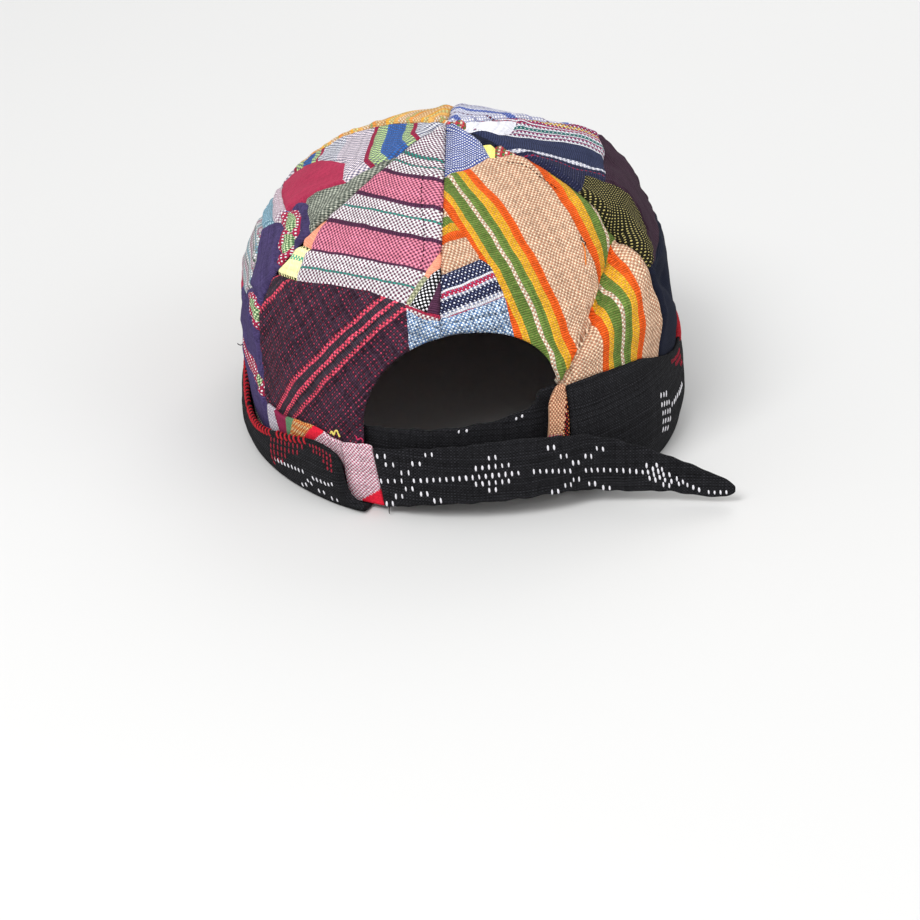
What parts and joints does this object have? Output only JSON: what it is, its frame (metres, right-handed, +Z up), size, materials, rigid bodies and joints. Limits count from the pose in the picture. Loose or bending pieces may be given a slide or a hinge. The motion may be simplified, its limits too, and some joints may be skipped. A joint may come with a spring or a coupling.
{
  "type": "patchwork skullcap",
  "caption": "Soft brimless skullcap with a patchwork panel crown, a turned-up cuff and an adjustable strap across an arched back opening.",
  "frame": {"origin": "middle of the underside of the whole cap, on the surface that it rests on", "axes": "+Y points the way the wearer faces, +X to the wearer's right, +Z up; the opening and straps are at -Y"},
  "size_m": [0.1902, 0.2088, 0.1177],
  "materials": {
    "patch_back_left": "handwoven cotton, plum, crimson, pink and white stripes",
    "patch_back_right": "handwoven cotton, peach and orange with green and yellow stripes",
    "patch_right": "handwoven cotton, navy, plum and olive with fine stripes",
    "patch_left": "handwoven cotton, purple, crimson, blue and grey green",
    "patch_front_left": "handwoven cotton, orange, yellow, green and navy stripes",
    "patch_front_right": "handwoven cotton, lavender, white and blue stripes",
    "black_cloth": "black handwoven cotton with white and red floats",
    "facing_cloth": "pieced handwoven cotton, pink check with red, orange and green ends",
    "hem_cloth": "peach handwoven cotton, folded edge"
  },
  "bodies": {
    "root": {"panel_back_left": "patch_back_left", "panel_left": "patch_left", "panel_front_left": "patch_front_left", "panel_front_right": "patch_front_right", "panel_right": "patch_right", "panel_back_right": "patch_back_right", "cuff": "black_cloth", "facing_left": "facing_cloth", "hem_fold_right": "hem_cloth", "strap_inner": "black_cloth", "strap_outer": "black_cloth"}
  },
  "joints": []
}
